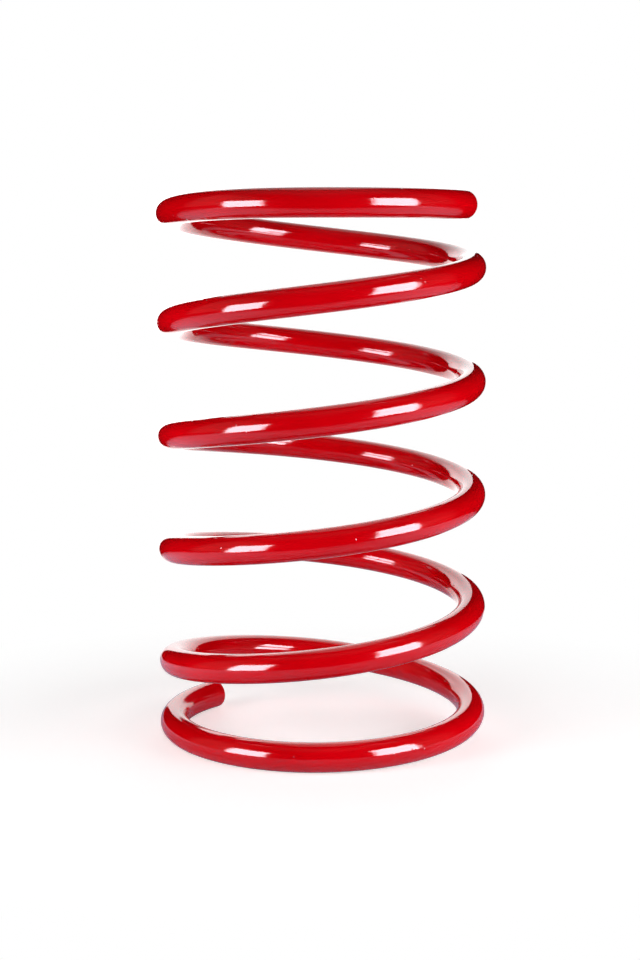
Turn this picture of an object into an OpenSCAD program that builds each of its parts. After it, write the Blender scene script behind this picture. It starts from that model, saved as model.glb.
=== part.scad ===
// Helical compression spring: one length of round wire, wound right-handed.
// The axis is Z. Z = 0 is the underside of the lower end coil.

/* [Wire] */
// Diameter of the round wire
wire_d = 12; // [8:0.5:16]
// Radius dressed onto the edge of each cut end
end_round = 1.25; // [0.5:0.25:3.5]

/* [Coil] */
// Outside diameter over the wire
coil_od = 140; // [110:1:180]
// Unloaded height, from the underside of the lower end coil to the top of the upper one
free_height = 232; // [180:0.5:300]
// Turns of wire from one cut end to the other
total_turns = 5.55; // [4.5:0.01:7]
// Direction of the lower cut end, seen from above, in degrees from +X
lower_end_angle = 139; // [0:1:359]

/* [End coils] */
// Degrees of the lower end coil that lie flat
lower_flat = 107; // [60:1:200]
// Degrees over which the lower end coil opens out to the full pitch
lower_ramp = 200; // [90:5:240]
// Degrees of the upper end coil that lie flat
upper_flat = 77; // [40:1:200]
// Degrees over which the full pitch closes down to the upper end coil
upper_ramp = 145; // [90:5:240]

/* [Smoothness] */
// Sides of the wire's section
wire_sides = 20; // [12:4:20]
// Sections of wire in one turn
sections_per_turn = 48; // [24:1:48]
// Sections in the rounding of a cut end
end_sections = 4; // [2:1:6]

/* [Hidden] */

coat_red = "#cc0410";

wire_r = wire_d / 2;
mean_r = coil_od / 2 - wire_r;

// The wire is followed by its angle of turn, in degrees from the lower cut end.
total_arc = total_turns * 360;
full_pitch_start = lower_flat + lower_ramp;
full_pitch_end = total_arc - upper_flat - upper_ramp;

// A ramp climbs half as far as the same arc does at full pitch.
active_arc = full_pitch_end - full_pitch_start + (lower_ramp + upper_ramp) / 2;
pitch = (free_height - wire_d) * 360 / active_arc;

// Arc that the rounding takes up at each cut end
round_arc = end_round / mean_r * 180 / PI;
body_sections = ceil((total_arc - 2 * round_arc) / 360 * sections_per_turn);

// Share of the full pitch at an angle: it grows evenly up the lower ramp and fades evenly up the upper one.
function pitch_share(angle) =
    let (opening = (angle - lower_flat) / lower_ramp)
    let (closing = (total_arc - upper_flat - angle) / upper_ramp)
    max(0, min(1, opening, closing));

// Arc at full pitch that climbs as far as a ramp does from its flat end up to a share of the pitch
function ramp_arc(share, ramp) = share * share * ramp / 2;

// Arc at full pitch that climbs as far as the wire has climbed at an angle
function climbed_arc(angle) =
    angle < full_pitch_start
    ? ramp_arc(pitch_share(angle), lower_ramp)
    : angle < full_pitch_end
    ? lower_ramp / 2 + angle - full_pitch_start
    : active_arc - ramp_arc(pitch_share(angle), upper_ramp);

// Height of the wire's centre line at an angle
function wire_z(angle) = wire_r + pitch / 360 * climbed_arc(angle);

// Slope of the wire at an angle, against the horizontal
function wire_slope(angle) = atan(pitch * pitch_share(angle) / (2 * PI * mean_r));

// One round section, square to the wire, as points that run from the outer side over the top
function wire_section(angle, radius) =
    let (heading = lower_end_angle + angle)
    let (slope = wire_slope(angle))
    let (outward = [cos(heading), sin(heading), 0])
    let (upward = [sin(heading) * sin(slope), -cos(heading) * sin(slope), cos(slope)])
    let (centre = mean_r * outward + [0, 0, wire_z(angle)])
    [for (side = [0 : wire_sides - 1])
        let (turn = side * 360 / wire_sides)
        centre + radius * (cos(turn) * outward + sin(turn) * upward)];

// Rounding of a cut end, from the full wire to the flat: each entry is [arc left to the end, radius]
function end_rounding() =
    [for (step = [1 : end_sections])
        let (turn = 90 * step / end_sections)
        [round_arc * (1 - sin(turn)), wire_r - end_round * (1 - cos(turn))]];

// Stations along the wire, from one cut end to the other: each is [angle, radius of the section]
function wire_stations() =
    let (rounding = end_rounding())
    let (body_arc = total_arc - 2 * round_arc)
    concat(
        [for (step = [end_sections - 1 : -1 : 0]) rounding[step]],
        [for (step = [0 : body_sections]) [round_arc + body_arc * step / body_sections, wire_r]],
        [for (step = [0 : end_sections - 1]) [total_arc - rounding[step][0], rounding[step][1]]]
    );

// Two triangles for each side of the wire between one section and the next
function skin_faces(section) =
    [for (side = [0 : wire_sides - 1])
        let (next_side = (side + 1) % wire_sides)
        let (here = section * wire_sides)
        let (ahead = here + wire_sides)
        each [
            [here + side, here + next_side, ahead + next_side],
            [here + side, ahead + next_side, ahead + side]
        ]];

module coil_spring() {
    stations = wire_stations();
    last_section = len(stations) - 1;
    skin_points = [for (station = stations) each wire_section(station[0], station[1])];
    lower_cut = [for (side = [wire_sides - 1 : -1 : 0]) side];
    upper_cut = [for (side = [0 : wire_sides - 1]) last_section * wire_sides + side];
    skin = [for (section = [0 : last_section - 1]) each skin_faces(section)];
    color(coat_red)
        polyhedron(points = skin_points, faces = concat([lower_cut], skin, [upper_cut]), convexity = 12);
}

coil_spring();
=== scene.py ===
# %% [markdown]
# # A helical spring in a gloss red coat
#
# The object is one length of round steel wire, wound into an open coil and
# powder-coated. This lesson winds a smooth wire where the solid model already
# is, gives it a glossy coat, and photographs it in a small white studio. All
# lengths are in metres, as they are in the solid model.

# %% Load the solid model
import math

import bmesh
import bpy
from mathutils import Matrix, Vector
from mathutils.bvhtree import BVHTree


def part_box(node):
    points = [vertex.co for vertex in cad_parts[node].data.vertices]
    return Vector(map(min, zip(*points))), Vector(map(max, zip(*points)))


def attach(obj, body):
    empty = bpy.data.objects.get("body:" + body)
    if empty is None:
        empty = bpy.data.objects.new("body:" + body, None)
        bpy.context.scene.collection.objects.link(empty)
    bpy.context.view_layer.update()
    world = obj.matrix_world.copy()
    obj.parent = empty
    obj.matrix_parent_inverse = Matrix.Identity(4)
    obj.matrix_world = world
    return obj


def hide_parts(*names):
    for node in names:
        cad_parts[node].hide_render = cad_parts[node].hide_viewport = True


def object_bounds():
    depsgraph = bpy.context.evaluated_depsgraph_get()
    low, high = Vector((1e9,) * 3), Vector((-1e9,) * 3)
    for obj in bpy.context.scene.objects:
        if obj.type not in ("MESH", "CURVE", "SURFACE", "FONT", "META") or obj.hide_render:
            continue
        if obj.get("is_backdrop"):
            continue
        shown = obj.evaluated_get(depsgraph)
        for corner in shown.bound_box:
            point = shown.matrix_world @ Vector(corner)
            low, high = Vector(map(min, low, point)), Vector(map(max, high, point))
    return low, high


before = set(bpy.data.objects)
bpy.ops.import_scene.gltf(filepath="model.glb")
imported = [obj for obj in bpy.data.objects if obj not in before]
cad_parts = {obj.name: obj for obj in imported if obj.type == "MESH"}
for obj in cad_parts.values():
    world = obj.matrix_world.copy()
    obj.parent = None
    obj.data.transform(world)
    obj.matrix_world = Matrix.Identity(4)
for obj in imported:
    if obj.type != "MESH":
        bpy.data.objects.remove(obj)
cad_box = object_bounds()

MM = 1000

for word, corner in zip(("from", "to"), cad_box):
    print("Solid model", word, [round(x * MM, 2) for x in corner], "mm")

# %% [markdown]
# ## Sizes
#
# The solid model gives the outside diameter and the height. The rest is what
# a spring maker writes on the drawing: the wire, the number of turns, and how
# the two end coils are closed down. The pitch isn't a free choice: it has to
# bring the wire to the full height in the arc that climbs, where a ramp
# counts for half.

# %% Sizes of the wire and the coil, in metres, turns and degrees of turn
FULL_TURN = 360
WIRE_DIAMETER = 0.012
TOTAL_TURNS = 5.55
LOWER_FLAT = 107
LOWER_RAMP = 200
UPPER_FLAT = 77
UPPER_RAMP = 145

low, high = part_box("coil_spring")
wire_radius = WIRE_DIAMETER / 2
mean_radius = (high.x - low.x) / 2 - wire_radius
full_pitch_arc = FULL_TURN * TOTAL_TURNS - LOWER_FLAT - LOWER_RAMP - UPPER_RAMP - UPPER_FLAT
climbing_arc = full_pitch_arc + (LOWER_RAMP + UPPER_RAMP) / 2
pitch = (high.z - low.z - WIRE_DIAMETER) * FULL_TURN / climbing_arc
print(f"Mean radius {mean_radius * MM:.2f} mm, full pitch {pitch * MM:.2f} mm a turn")

# %% [markdown]
# ## Winding the wire
#
# A curve with a round bevel would also look like a wire, but its section
# would turn as it climbs, and its ends would be hard to dress. Blender's Spin
# does what the coiling machine does: it carries a ring round the axis and
# lifts it a little at each step. An operator takes longer on a larger mesh,
# so the wire is wound as three stretches, each in a mesh of its own.

# %% Helpers that carry a ring along the wire
WIRE_SIDES = 64
LOWER_END_ANGLE = 139
QUARTER_TURN = math.radians(90)


def slope(share):
    """Slope of the wire where it climbs at a share of the full pitch."""
    return math.atan2(share * pitch, math.tau * mean_radius)


def start_ring(bm, angle, height, share):
    """A ring round the wire and square to it, at an angle of turn from the lower cut end."""
    place = (
        Matrix.Rotation(math.radians(LOWER_END_ANGLE + angle), 4, "Z")
        @ Matrix.Translation((mean_radius, 0, height))
        @ Matrix.Rotation(QUARTER_TURN + slope(share), 4, "X")
    )
    bmesh.ops.create_circle(bm, segments=WIRE_SIDES, radius=wire_radius, matrix=place)
    return bm.verts[:] + bm.edges[:]


def wind(bm, geometry, arc, rise, steps, copies=False):
    """Spins a ring into wire, or wire into copies of itself, and returns the last of them."""
    made = bmesh.ops.spin(
        bm, geom=geometry, cent=(0, 0, 0), axis=(0, 0, 1), dvec=(0, 0, rise / steps),
        angle=math.radians(arc), steps=steps, use_duplicate=copies,
    )
    return made["geom_last"]


def tip(bm, ring, angle):
    """Turns a ring about the line from the coil's axis through its middle."""
    verts = [part for part in ring if isinstance(part, bmesh.types.BMVert)]
    middle = sum((vert.co for vert in verts), Vector()) / len(verts)
    outward = Vector((middle.x, middle.y, 0)).normalized()
    bmesh.ops.rotate(bm, verts=verts, cent=middle, matrix=Matrix.Rotation(angle, 3, outward))


print(f"Slope at full pitch: {math.degrees(slope(1)):.2f} degrees")

# %% [markdown]
# ### End coils
#
# An end coil has a flat part, which sits on the seat, and a ramp, where the
# pitch changes evenly. The flat part is one spin that doesn't rise. One spin
# can't change its pitch, so on the ramp the ring is spun one step at a time,
# and tipped a little after each step to stay square to the wire. The step
# next to a cut is a longer one, to leave room for rounding its edge.

# %% Helpers for the end coils
RING_STEP = 2


def wind_flat(bm, ring, arc):
    """Winds wire that doesn't rise."""
    return wind(bm, ring, arc, rise=0, steps=round(arc / RING_STEP))


def wind_ramp(bm, ring, arc, share, last_share):
    """Winds wire whose pitch goes evenly from one share of the full pitch to another."""
    steps = round(arc / RING_STEP)
    change = (last_share - share) / steps
    for _ in range(steps):
        rise = (share + change / 2) * pitch * arc / steps / FULL_TURN
        ring = wind(bm, ring, arc / steps, rise, steps=1)
        tip(bm, ring, slope(share + change) - slope(share))
        share += change
    return ring


print(f"A ring about every {RING_STEP} degrees of turn")

# %% The two end coils
CUT_STEP = 3

lower_coil = bmesh.new()
ring = start_ring(lower_coil, angle=0, height=low.z + wire_radius, share=0)
ring = wind(lower_coil, ring, CUT_STEP, rise=0, steps=1)
ring = wind_flat(lower_coil, ring, LOWER_FLAT - CUT_STEP)
wind_ramp(lower_coil, ring, LOWER_RAMP, share=0, last_share=1)

ramp_foot = LOWER_FLAT + LOWER_RAMP + full_pitch_arc
ramp_height = high.z - wire_radius - UPPER_RAMP / 2 * pitch / FULL_TURN
upper_coil = bmesh.new()
ring = start_ring(upper_coil, ramp_foot, ramp_height, share=1)
ring = wind_ramp(upper_coil, ring, UPPER_RAMP, share=1, last_share=0)
ring = wind_flat(upper_coil, ring, UPPER_FLAT - CUT_STEP)
wind(upper_coil, ring, CUT_STEP, rise=0, steps=1)
print(f"End coils of {len(lower_coil.faces)} and {len(upper_coil.faces)} faces")

# %% [markdown]
# ### Open coil
#
# Between the end coils the pitch is constant, so every length of wire is the
# one before it, turned and lifted. One length is spun from a ring, and a
# second spin, with duplicates, lays the others end to end.

# %% The turns at full pitch
LENGTHS = 24

length_arc = full_pitch_arc / LENGTHS
length_rise = pitch * length_arc / FULL_TURN
length_foot = low.z + wire_radius + LOWER_RAMP / 2 * pitch / FULL_TURN
open_coil = bmesh.new()
ring = start_ring(open_coil, LOWER_FLAT + LOWER_RAMP, length_foot, share=1)
wind(open_coil, ring, length_arc, length_rise, round(length_arc / RING_STEP))
one_length = open_coil.verts[:] + open_coil.edges[:] + open_coil.faces[:]
others = LENGTHS - 1
wind(open_coil, one_length, length_arc * others, length_rise * others, others, copies=True)
print(f"{LENGTHS} lengths of {length_arc:.1f} degrees, {len(open_coil.faces)} faces")

# %% [markdown]
# ### One wire
#
# The real wire has no joint. Each stretch starts with a ring in the place
# where the one before it ends, and so does each length of the open coil.
# Bridging two rings would need a gap between them, so the three stretches are
# laid in one mesh instead, and their doubled vertices merged.

# %% Join the three stretches
WELD_DISTANCE = 1e-6

wire_mesh = bpy.data.meshes.new("spring_wire")
bm = bmesh.new()
for stretch in (lower_coil, open_coil, upper_coil):
    stretch.to_mesh(wire_mesh)
    stretch.free()
    bm.from_mesh(wire_mesh)
before = len(bm.verts)
bmesh.ops.remove_doubles(bm, verts=bm.verts, dist=WELD_DISTANCE)
print(f"Welded {before - len(bm.verts)} vertices where rings meet")

# %% [markdown]
# ## Cut ends
#
# The wire is sheared square and its edge is dressed, so that it neither cuts
# the seat nor thins the coat. Filling the open rims makes the two cuts, and a
# bevel rounds their edges. A narrow inset keeps the flat of the cut from
# shading like a dome.

# %% Close and dress the cut ends
END_ROUND = 0.00125
ROUND_SEGMENTS = 8
CUT_INSET = 0.0003

rims = [edge for edge in bm.edges if edge.is_boundary]
bmesh.ops.edgeloop_fill(bm, edges=rims)
bmesh.ops.bevel(
    bm, geom=rims, offset=END_ROUND, offset_type="OFFSET", segments=ROUND_SEGMENTS,
    profile=0.5, affect="EDGES", clamp_overlap=False, material=-1,
)
cuts = [face for face in bm.faces if len(face.verts) == WIRE_SIDES]
bmesh.ops.inset_individual(bm, faces=cuts, thickness=CUT_INSET)
bmesh.ops.recalc_face_normals(bm, faces=bm.faces)
for face in bm.faces:
    face.smooth = True
open_edges = [edge for edge in bm.edges if not edge.is_manifold]
print(f"{len(cuts)} cut ends, {len(open_edges)} open edges left")

# %% [markdown]
# ## The piece
#
# The solid's flat facets would show in the gloss. Its own mesh is left as it
# is, so the smooth wire stands for it to the eye. The wire moves with the
# part's only body, takes the finish of the red coat, and sits at the origin
# with its place in its mesh, as the solid does.

# %% Make the wire an object that stands for the solid
bm.to_mesh(wire_mesh)
bm.free()
spring = bpy.data.objects.new("spring_wire", wire_mesh)
bpy.context.scene.collection.objects.link(spring)
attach(spring, "root")
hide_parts("coil_spring")
print(f"spring_wire has {len(wire_mesh.vertices)} vertices and {len(wire_mesh.polygons)} faces")

# %% [markdown]
# ### A measure
#
# The smooth wire has to lie where the solid lies. Comparing their boxes would
# miss a wrong ramp, so each corner of the solid is measured to the nearest
# point of the wire, which a BVH tree finds fast.

# %% Measure the smooth wire against the solid
tree = BVHTree.FromPolygons(
    [vert.co for vert in wire_mesh.vertices], [face.vertices for face in wire_mesh.polygons]
)
apart = []
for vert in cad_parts["coil_spring"].data.vertices:
    _, _, _, distance = tree.find_nearest(vert.co)
    apart.append(distance)
print(f"The solid's corners lie within {max(apart) * MM:.3f} mm of the smooth wire")

# %% [markdown]
# ## Writing shaders as sums
#
# A material is a graph of nodes, and a graph is hard to read as a list of
# links. This small class wraps one socket. Arithmetic on it adds Math nodes,
# so that a mask can be written as a sum, and `make` adds any other node: its
# settings first, then the numbers or links of its sockets.

# %% A socket that Python can do sums with


class Socket:
    """One output of a shader node, in the node tree that it belongs to."""

    def __init__(self, tree, output=None):
        self.tree = tree
        self.output = output

    def make(self, kind, settings=None, inputs=None, output=0):
        """Adds a node, sets it up, feeds its inputs and returns one of its outputs."""
        node = self.tree.nodes.new(kind)
        for name, value in (settings or {}).items():
            setattr(node, name, value)
        for name, value in (inputs or {}).items():
            if isinstance(value, Socket):
                self.tree.links.new(value.output, node.inputs[name])
            else:
                node.inputs[name].default_value = value
        return Socket(self.tree, node.outputs[output] if node.outputs else None)

    def sum(self, operation, left, right):
        """Adds a Math node."""
        return self.make("ShaderNodeMath", {"operation": operation}, {0: left, 1: right})

    def __add__(self, other):
        return self.sum("ADD", self, other)

    __radd__ = __add__

    def __mul__(self, other):
        return self.sum("MULTIPLY", self, other)

    __rmul__ = __mul__

    def __sub__(self, other):
        return self.sum("SUBTRACT", self, other)

    def __rsub__(self, other):
        return self.sum("SUBTRACT", other, self)

    def step(self, start, end):
        """0 up to start and 1 from end on, with a soft S between them."""
        return self.make(
            "ShaderNodeMapRange",
            {"interpolation_type": "SMOOTHSTEP"},
            {"Value": self, "From Min": start, "From Max": end},
        )


def empty_tree(owner):
    """The node tree of a material or a world, with nothing in it."""
    owner.use_nodes = True
    owner.node_tree.nodes.clear()
    return Socket(owner.node_tree)


print("Socket can add, take away, multiply and step")

# %% [markdown]
# ## The red coat
#
# Powder coat is sprayed on dry and baked until it flows. The red is deep and
# nearly even, only a little brighter in some places than in others. A picture
# wrapped round the wire would show its seam, so the tone comes from a noise
# that is worked out in space, at each point of the surface.

# %% Colour of the coat
DEEP_RED = (0.55, 0.0, 0.0025, 1)
BRIGHT_RED = (0.64, 0.0, 0.0035, 1)
TONE_NOISE = {"Scale": 22, "Detail": 2}
TONE_EDGE = (0.35, 0.65)

# A Mix node has an A, a B and a Result for each type of data, so those for colours go by number.
COLOUR_A = 6
COLOUR_B = 7
COLOUR_RESULT = 2

red_coat = bpy.data.materials.new("red_powder_coat")
coat = empty_tree(red_coat)
on_wire = coat.make("ShaderNodeTexCoord", output="Object")


def noise(settings):
    """Noise over the coat. Its scale counts the waves in a metre."""
    return coat.make("ShaderNodeTexNoise", inputs={"Vector": on_wire, **settings})


tone = noise(TONE_NOISE).step(*TONE_EDGE)
reds = {"Factor": tone, COLOUR_A: DEEP_RED, COLOUR_B: BRIGHT_RED}
colour = coat.make("ShaderNodeMix", {"data_type": "RGBA"}, reds, output=COLOUR_RESULT)
print("Colour of", red_coat.name, "from", DEEP_RED[:3], "to", BRIGHT_RED[:3])

# %% [markdown]
# ### Relief and gloss
#
# The powder flows almost flat. What is left is a faint orange peel, about two
# millimetres from crest to crest, long shallow sags, and now and then a grain
# that didn't melt. It is all far too shallow to model, so a bump tilts the
# shading instead. The gloss comes from a clear, smooth surface: the roughness
# is low, and changes only a little from place to place.

# %% Relief of the coat
PEEL_NOISE = {"Scale": 420, "Detail": 1}
SAG_NOISE = {"Scale": 90, "Detail": 0}
GRAIN_CELLS = 200
GRAIN_EDGE = (0.03, 0.12)
PEEL_HEIGHT = 1.2
SAG_HEIGHT = 2.0
GRAIN_HEIGHT = 4.0
HEIGHT_UNIT = 0.00002

cells = {"Vector": on_wire, "Scale": GRAIN_CELLS}
from_grain = coat.make("ShaderNodeTexVoronoi", inputs=cells, output="Distance")
grain = 1 - from_grain.step(*GRAIN_EDGE)
relief = noise(PEEL_NOISE) * PEEL_HEIGHT + noise(SAG_NOISE) * SAG_HEIGHT + grain * GRAIN_HEIGHT
bumps = {"Strength": 1.0, "Distance": HEIGHT_UNIT, "Height": relief}
bump = coat.make("ShaderNodeBump", inputs=bumps)
print(f"Grains up to {GRAIN_HEIGHT * HEIGHT_UNIT * MM:.2f} mm high")

# %% Gloss of the coat
LEAST_ROUGHNESS = 0.05
GLOSS_NOISE = {"Scale": 140, "Detail": 3}
GLOSS_CHANGE = 0.05
GRAIN_DULLS = 0.03
COAT_IOR = 1.5

roughness = LEAST_ROUGHNESS + noise(GLOSS_NOISE) * GLOSS_CHANGE + grain * GRAIN_DULLS
shader = coat.make(
    "ShaderNodeBsdfPrincipled",
    inputs={"Base Color": colour, "Roughness": roughness, "IOR": COAT_IOR, "Normal": bump},
)
coat.make("ShaderNodeOutputMaterial", inputs={"Surface": shader})
wire_mesh.materials.append(red_coat)
print("spring_wire is coated with", wire_mesh.materials[0].name)

# %% [markdown]
# ## The studio
#
# Gloss shows what stands round the object, so a glossy thing is lit with
# large, plain shapes: two upright softboxes in front, a white table, and a
# narrow bright panel behind, with a dim room between them. One dome of even
# light would be simpler, but it would wash out the red. Light Path tells the
# kinds of ray apart, and Mix Shaders then give each kind what it needs: white
# for the camera, the dim room for the gloss, and a little even light for the
# coat.

# %% Helpers that tell places and rays apart


def axes(vector):
    """The X, Y and Z of a vector."""
    split = "ShaderNodeSeparateXYZ"
    return [vector.make(split, inputs={"Vector": vector}, output=axis) for axis in "XYZ"]


def ray_kinds(nodes):
    """Masks of the rays that see the background, and of the rays that gloss sends out."""

    def is_ray(kind):
        return nodes.make("ShaderNodeLightPath", output=f"Is {kind} Ray")

    return is_ray("Camera") + is_ray("Transmission"), is_ray("Glossy")


def either(mask, first, second):
    """One shader where the mask is 0, and another where it is 1."""
    return mask.make("ShaderNodeMixShader", inputs={"Fac": mask, 1: first, 2: second})


print("Helpers for the studio: axes, ray_kinds and either")

# %% World
WHITE = (1, 1, 1, 1)
BACKDROP = 1
EVEN_LIGHT = 0.008
DIM_ROOM = 0.004
CEILING = 0.10
LEFT_WALL = 0.20
RIGHT_WALL = 0.10
WALL_EDGE = (0.5, 0.77)
WALL_BACK = (0.1, 0.35)
CEILING_EDGE = (0.75, 0.95)

scene = bpy.context.scene
scene.view_settings.view_transform = "Standard"


def studio_world():
    """White for the camera, a dim room for the gloss, and a little even light for the coat."""
    world = bpy.data.worlds.new("studio")
    nodes = empty_tree(world)
    seen, mirrored = ray_kinds(nodes)
    x, y, z = axes(nodes.make("ShaderNodeTexCoord", output="Generated"))

    def sky(strength):
        return nodes.make("ShaderNodeBackground", inputs={"Color": WHITE, "Strength": strength})

    ahead = 1 - y.step(*WALL_BACK)
    room = either((0 - x).step(*WALL_EDGE) * ahead, sky(DIM_ROOM), sky(LEFT_WALL))
    room = either(x.step(*WALL_EDGE) * ahead, room, sky(RIGHT_WALL))
    room = either(z.step(*CEILING_EDGE), room, sky(CEILING))
    light = either(mirrored, sky(EVEN_LIGHT), room)
    nodes.make("ShaderNodeOutputWorld", inputs={"Surface": either(seen, light, sky(BACKDROP))})
    return world


scene.world = studio_world()
print("World:", scene.world.name)

# %% [markdown]
# ### The table
#
# The spring stands on a white sheet. To the camera the sheet runs on into the
# white background and keeps only the soft shadow round the wire. To all other
# rays it is a table of limited size: that keeps the undersides of the wire
# dark, as they are on a real table. Pools of light are painted on it as glowing
# patches, one below the panel and one beside each softbox, where their light
# would fall. The coat mirrors them, and the left one also lights the coat.

# %% Helpers for the studio's surfaces
CARD_HALF_SIDE = 0.5


def flat_card(name, width, height, place, material):
    """A flat rectangle, with UVs from 0 to 1, that belongs to the studio and not to the object."""
    bm = bmesh.new()
    bm.loops.layers.uv.new("card")
    stretch = Matrix.Diagonal((width, height, 1, 1))
    bmesh.ops.create_grid(
        bm, x_segments=1, y_segments=1, size=CARD_HALF_SIDE, matrix=place @ stretch, calc_uvs=True
    )
    mesh = bpy.data.meshes.new(name)
    bm.to_mesh(mesh)
    bm.free()
    mesh.materials.append(material)
    card = bpy.data.objects.new(name, mesh)
    scene.collection.objects.link(card)
    card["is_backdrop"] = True
    return card


def glow(nodes, strength, tint=WHITE):
    """A surface that gives light."""
    return nodes.make("ShaderNodeEmission", inputs={"Color": tint, "Strength": strength})


def paper(nodes, colour):
    """A matt surface."""
    return nodes.make("ShaderNodeBsdfDiffuse", inputs={"Color": colour})


print("Helpers for the studio: flat_card, glow and paper")

# %% The sheet that the camera sees
SHEET = (0.7, 0.7, 0.7, 1)
SHEET_LIFT = 0.58
SHEET_EDGE = (0.1, 0.24)


def sheet_shade(nodes, place):
    """Lit paper round the spring, which fades into the plain white background."""
    away = nodes.make("ShaderNodeVectorMath", {"operation": "LENGTH"}, {0: place}, output="Value")
    lit = {0: paper(nodes, SHEET), 1: glow(nodes, SHEET_LIFT)}
    near = nodes.make("ShaderNodeAddShader", inputs=lit)
    return either(away.step(*SHEET_EDGE), near, glow(nodes, BACKDROP))


print(f"The sheet is plain white from {SHEET_EDGE[1]} m on")

# %% The table that the coat sees
TABLE_TOP = (0.66, 0.73, 0.97, 1)
TABLE_FRONT = (-0.33, -0.17)
TABLE_BACK = (0.23, 0.28)
# Painted light: glowing patches on the table that stand for the pools of softbox and panel light.
PAINTED_LIGHT_TINT = (0.85, 0.95, 1.25, 1)
SIDE_PAINTED_LIGHT = 0.85
LEFT_PATCH_START = (0.06, 0.2)
LEFT_PATCH_BACK = (0.05, 0.3)
RIGHT_PATCH_START = (0.09, 0.2)
RIGHT_PATCH_BACK = (-0.05, 0.25)
SIDE_PATCH_END_SQUARED = (0.1, 0.5)
BACK_PAINTED_LIGHT = 1.7
BACK_PATCH_START = (0.14, 0.26)
BACK_PATCH_SIDE_SQUARED = (0.008, 0.04)


def table_shade(nodes, place, mirrored):
    """A table of limited size, with painted pools of light, glowing patches, on each side and one
    behind.
    """
    x, y, _ = axes(place)
    # Painted light: these masks place glowing patches where the softboxes' and the panel's light
    # would fall.
    left = (0 - x).step(*LEFT_PATCH_START) * (1 - y.step(*LEFT_PATCH_BACK))
    right = x.step(*RIGHT_PATCH_START) * (1 - y.step(*RIGHT_PATCH_BACK))
    beside = (left + mirrored * right) * (1 - (x * x).step(*SIDE_PATCH_END_SQUARED))
    behind = mirrored * (1 - (x * x).step(*BACK_PATCH_SIDE_SQUARED)) * y.step(*BACK_PATCH_START)
    table = either(beside, paper(nodes, TABLE_TOP), glow(nodes, SIDE_PAINTED_LIGHT, PAINTED_LIGHT_TINT))
    table = either(behind, table, glow(nodes, BACK_PAINTED_LIGHT))
    on_table = y.step(*TABLE_FRONT) * (1 - y.step(*TABLE_BACK))
    return either(on_table, glow(nodes, DIM_ROOM), table)


print(f"The table ends {TABLE_BACK[1]} m behind the axis")

# %% Table
FLOOR_SIZE = 6.0


def table_material():
    """The sheet for the camera, and the table for all other rays."""
    material = bpy.data.materials.new("white_table")
    nodes = empty_tree(material)
    seen, mirrored = ray_kinds(nodes)
    place = nodes.make("ShaderNodeTexCoord", output="Object")
    surface = either(seen, table_shade(nodes, place, mirrored), sheet_shade(nodes, place))
    nodes.make("ShaderNodeOutputMaterial", inputs={"Surface": surface})
    return material


floor_place = Matrix.Translation((0, 0, low.z))
floor = flat_card("floor", FLOOR_SIZE, FLOOR_SIZE, floor_place, table_material())
print("Floor at height", floor.data.vertices[0].co.z)

# %% [markdown]
# ### The softboxes
#
# A softbox is a lamp behind a white cloth, bright in the middle and soft at
# its rim. Its picture in the coat is a long, bright bar. A lamp as bright as
# that bar would make the red too light, so each softbox is a card that only
# the gloss sees, and the lamps come later.

# %% Helpers for the cards that the gloss mirrors


def upright(azimuth, distance, height):
    """Place of an upright card that faces the axis. Azimuth 0 is in front, 90 to the right."""
    turn = Matrix.Rotation(math.radians(azimuth), 4, "Z")
    return turn @ Matrix.Translation((0, -distance, height)) @ Matrix.Rotation(QUARTER_TURN, 4, "X")


def gloss_card(name, width, height, place, shade, strength):
    """A card that only the gloss sees. Its shade is worked out from its own nodes and UVs."""
    material = bpy.data.materials.new(name)
    nodes = empty_tree(material)
    u, v, _ = axes(nodes.make("ShaderNodeTexCoord", output="UV"))
    nodes.make("ShaderNodeOutputMaterial", inputs={"Surface": shade(nodes, u, v, strength)})
    card = flat_card(name, width, height, place, material)
    card.visible_camera = False
    card.visible_diffuse = False
    card.visible_shadow = False
    print(f"{name} is {width} by {height} m")


print("Helpers for the cards: upright and gloss_card")

# %% Softboxes
CLOTH = (1, 0.94, 1.05, 1)
CLOTH_RIM = 0.1
CLOTH_END = 0.15


def softbox_shade(nodes, u, v, strength):
    """Glowing cloth that fades out towards its four edges."""
    across = u.step(0, CLOTH_END) * (1 - u.step(1 - CLOTH_END, 1))
    upward = v.step(0, CLOTH_RIM) * (1 - v.step(1 - CLOTH_RIM, 1))
    clear = nodes.make("ShaderNodeBsdfTransparent")
    return either(across * upward, clear, glow(nodes, strength, CLOTH))


gloss_card(
    "left_softbox", width=0.358, height=0.44, shade=softbox_shade, strength=20,
    place=upright(azimuth=-51.7, distance=0.62, height=0.19),
)
gloss_card(
    "right_softbox", width=0.456, height=0.64, shade=softbox_shade, strength=21,
    place=upright(azimuth=50.2, distance=0.69, height=0.28),
)

# %% [markdown]
# ### The panel behind
#
# A narrow panel stands upright behind the spring, and makes the pale band
# inside the coil. It is brightest low on its left, and dimmer at its foot and
# towards its top. Several cards could do that, but masks on the UVs of one
# card mix its shades without a seam.

# %% Panel behind the spring
PANEL_MIDDLE = (-0.018, 0.24, 0.5)
PANEL_HEART = 3.4
PANEL_FOOT = 1.1
PANEL_TOP = 0.85
HEART_RIGHT = (0.2, 0.6)
HEART_FOOT = (0.25, 0.3)
HEART_TOP = (0.36, 0.43)
FOOT_EDGE = (0.18, 0.25)
TOP_EDGE = (0.37, 0.48)


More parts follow.
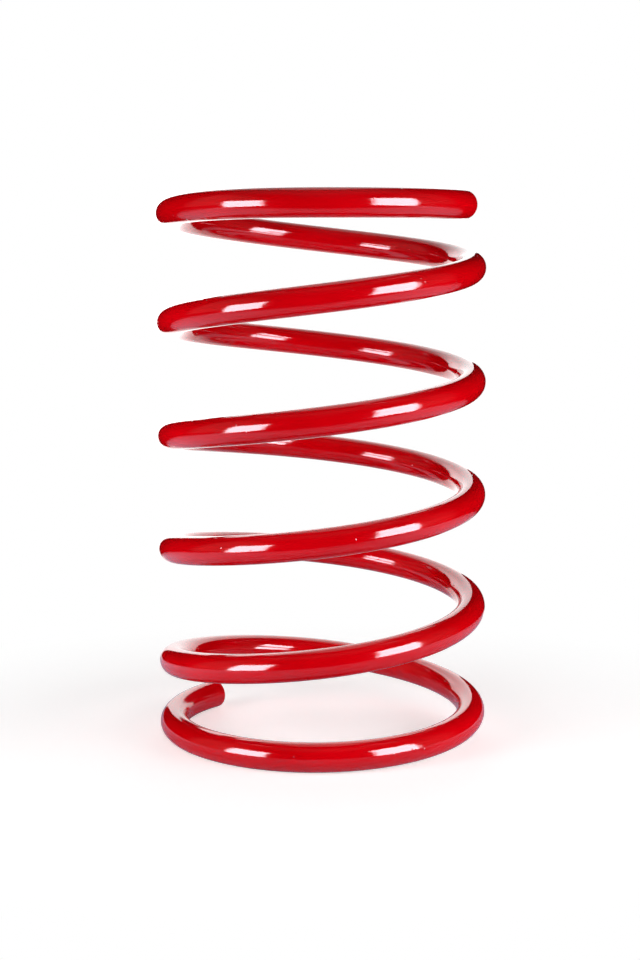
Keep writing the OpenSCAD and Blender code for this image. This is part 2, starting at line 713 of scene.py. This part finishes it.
def panel_shade(nodes, u, v, strength):
    """An even sheet with a brighter heart, and a dimmer foot and top."""
    heart = (1 - u.step(*HEART_RIGHT)) * v.step(*HEART_FOOT) * (1 - v.step(*HEART_TOP))
    sheet = either(heart, glow(nodes, strength), glow(nodes, PANEL_HEART))
    sheet = either(v.step(*FOOT_EDGE), glow(nodes, PANEL_FOOT), sheet)
    return either(v.step(*TOP_EDGE), sheet, glow(nodes, PANEL_TOP))


panel_place = Matrix.Translation(PANEL_MIDDLE) @ Matrix.Rotation(QUARTER_TURN, 4, "X")
gloss_card(
    "back_panel", width=0.236, height=1.6, shade=panel_shade, strength=2.2, place=panel_place
)

# %% [markdown]
# ### Lamps
#
# The light itself comes from area lamps where the softboxes stand, with one
# more on the right, a weaker one high in front for the tops of the wire, and
# one behind, so that the spring also shows well from the back. They light the
# red to about the colour that its material is written in. The gloss doesn't
# see them, because it has its cards.

# %% Lamps
LAMP_WIDTH = 0.32
LAMP_HEIGHT = 0.40
LAMP_DISTANCE = 0.65
LAMP_LEVEL = 0.165

middle = (low + high) / 2


def lamp(name, azimuth, power, distance=LAMP_DISTANCE, height=LAMP_LEVEL):
    """A soft area lamp that is aimed at the middle of the spring."""
    light = bpy.data.lights.new(name, "AREA")
    light.shape = "RECTANGLE"
    light.size = LAMP_WIDTH
    light.size_y = LAMP_HEIGHT
    light.energy = power
    spot = Matrix.Rotation(math.radians(azimuth), 4, "Z") @ Vector((0, -distance, height))
    aim = (spot - middle).to_track_quat("Z", "Y").to_matrix().to_4x4()
    holder = bpy.data.objects.new(name, light)
    holder.matrix_world = Matrix.Translation(spot) @ aim
    holder.visible_glossy = False
    scene.collection.objects.link(holder)


lamp("left_lamp", azimuth=-55, power=3.8)
lamp("right_lamp", azimuth=50, power=2.7)
lamp("side_lamp", azimuth=74, power=1.85)
lamp("front_lamp", azimuth=0, power=0.5, distance=0.45, height=0.65)
lamp("back_lamp", azimuth=180, power=2.6, height=0.14)
print("Lamps:", [light.name for light in bpy.data.lights])

# %% [markdown]
# ## The camera
#
# A long lens a little above the middle of the spring, looking down by a few
# degrees, keeps the turns almost parallel. A shift of the frame, and not more
# tilt, sets the spring's height in the picture. The lens and the shift are
# worked out for an image of 640 by 960 pixels.

# %% Camera
IMAGE_HEIGHT = 960
FOCAL_PIXELS = 1776.6
SENSOR = 36
CLIP_START = 0.01
CAMERA_PLACE = (-0.0006, -0.7576, 0.2056)
CAMERA_DOWN = 4.788
CAMERA_ROLL = -0.206
FRAME_SHIFT = -76.05

camera_data = bpy.data.cameras.new("camera")
camera_data.sensor_width = SENSOR
camera_data.lens = FOCAL_PIXELS / IMAGE_HEIGHT * SENSOR
camera_data.shift_y = FRAME_SHIFT / IMAGE_HEIGHT
camera_data.clip_start = CLIP_START
camera = bpy.data.objects.new("camera", camera_data)
tilt = Matrix.Rotation(math.radians(90 - CAMERA_DOWN), 4, "X")
roll = Matrix.Rotation(math.radians(CAMERA_ROLL), 4, "Z")
camera.matrix_world = Matrix.Translation(CAMERA_PLACE) @ tilt @ roll
scene.collection.objects.link(camera)
scene.camera = camera
print(f"Lens {camera_data.lens:.1f} mm")

# %% [markdown]
# ## Sizes at the end
#
# Looks must not change the size of the object. The box of the solid is printed
# at the start and that of the smooth wire here, so that they can be compared.

# %% Sizes, and the end
for word, corner in zip(("from", "to"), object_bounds()):
    print("Smooth wire", word, [round(x * MM, 2) for x in corner], "mm")
